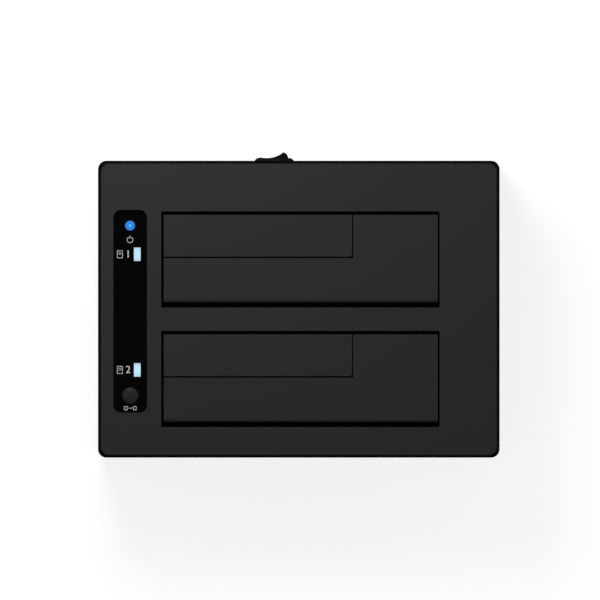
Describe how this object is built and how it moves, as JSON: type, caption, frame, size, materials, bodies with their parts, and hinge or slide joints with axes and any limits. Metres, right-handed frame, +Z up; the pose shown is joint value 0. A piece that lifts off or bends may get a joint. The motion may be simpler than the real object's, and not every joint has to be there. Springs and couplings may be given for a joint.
{
  "type": "drive duplicator",
  "caption": "Desktop drive duplicator: box with spring-flap drive bays in its top, small drive doors in the flaps, glossy control strip with lights and clone button, rear rocker.",
  "frame": {"origin": "middle of the housing's footprint, on the table under the feet", "axes": "+X to the right, +Y to the rear panel, +Z up"},
  "size_m": [0.152, 0.1157, 0.0641],
  "materials": {
    "cover_plastic": "fine-grain charcoal moulding",
    "tray_plastic": "fine-grain near-black moulding",
    "flap_plastic": "fine-grain charcoal moulding",
    "cage_plastic": "plain black moulding",
    "foot_rubber": "black rubber",
    "screw_steel": "black oxide steel",
    "pin_steel": "drawn steel wire",
    "spring_steel": "spring steel wire",
    "strip_gloss": "high gloss black",
    "blue_light": "lit blue lens",
    "pale_light": "lit pale blue window",
    "button_plastic": "satin charcoal",
    "board_laminate": "green solder mask",
    "led_body": "white resin",
    "switch_plastic": "satin black",
    "rocker_plastic": "satin black",
    "chip_resin": "black resin",
    "capacitor_can": "drawn aluminium",
    "connector_metal": "nickel plate",
    "header_plastic": "natural nylon",
    "cable_plastic": "black insulation",
    "contact_brass": "tinned brass",
    "socket_plastic": "black connector plastic",
    "tongue_plastic": "blue connector plastic"
  },
  "bodies": {
    "housing": {"base_tray": "tray_plastic", "board_screws": "screw_steel", "bridge_chips": "chip_resin", "cable_headers": "header_plastic", "cage_screws": "screw_steel", "capacitors": "capacitor_can", "clone_switch": "switch_plastic", "control_strip": "strip_gloss", "crystal": "connector_metal", "drive_cage": "cage_plastic", "front_bay_light": "pale_light", "front_drive_socket": "socket_plastic", "front_flap_pin": "pin_steel", "front_flap_spring": "spring_steel", "housing_screws": "screw_steel", "indicator_board": "board_laminate", "indicator_cable": "cable_plastic", "indicator_leds": "led_body", "indicator_screws": "screw_steel", "jack_pin": "connector_metal", "main_board": "board_laminate", "power_chokes": "chip_resin", "power_jack": "socket_plastic", "power_light": "blue_light", "rear_bay_light": "pale_light", "rear_drive_socket": "socket_plastic", "rear_flap_pin": "pin_steel", "rear_flap_spring": "spring_steel", "rocker_switch": "switch_plastic", "rubber_feet": "foot_rubber", "switch_header": "header_plastic", "switch_leads": "cable_plastic", "switch_terminals": "contact_brass", "top_cover": "cover_plastic", "usb_shell": "connector_metal", "usb_tongue": "tongue_plastic"},
    "rear_lid": {"rear_flap": "flap_plastic", "rear_door_pin": "pin_steel", "rear_door_spring": "spring_steel"},
    "rear_hatch": {"rear_small_door": "flap_plastic"},
    "front_lid": {"front_flap": "flap_plastic", "front_door_pin": "pin_steel", "front_door_spring": "spring_steel"},
    "front_hatch": {"front_small_door": "flap_plastic"},
    "button": {"clone_button": "button_plastic", "switch_plunger": "switch_plastic"},
    "rocker": {"power_rocker": "rocker_plastic"}
  },
  "joints": [
    {"name": "rear_flap_hinge", "type": "hinge", "parent": "housing", "child": "rear_lid", "pos_m": [0.00062, 0.00329, 0.05925], "axis": [1, 0, 0], "range_deg": [-90, 0], "stiffness_Nm_per_rad": 0.004, "springref_deg": 34.38},
    {"name": "rear_door_hinge", "type": "hinge", "parent": "rear_lid", "child": "rear_hatch", "pos_m": [-0.0155, 0.02051, 0.06055], "axis": [-1, 0, 0], "range_deg": [0, 90], "stiffness_Nm_per_rad": 0.001, "springref_deg": -34.38},
    {"name": "front_flap_hinge", "type": "hinge", "parent": "housing", "child": "front_lid", "pos_m": [0.00062, -0.04197, 0.05925], "axis": [1, 0, 0], "range_deg": [-90, 0], "stiffness_Nm_per_rad": 0.004, "springref_deg": 34.38},
    {"name": "front_door_hinge", "type": "hinge", "parent": "front_lid", "child": "front_hatch", "pos_m": [-0.0155, -0.02475, 0.06055], "axis": [-1, 0, 0], "range_deg": [0, 90], "stiffness_Nm_per_rad": 0.001, "springref_deg": -34.38},
    {"name": "clone_button_press", "type": "slide", "parent": "housing", "child": "button", "axis": [0, 0, -1], "range_m": [0, 0.0006], "stiffness_N_per_m": 400, "springref_m": -0.0005},
    {"name": "power_rocker_tilt", "type": "hinge", "parent": "housing", "child": "rocker", "pos_m": [-0.00934, 0.0539, 0.04], "axis": [0, 0, -1], "range_deg": [0, 24]}
  ]
}
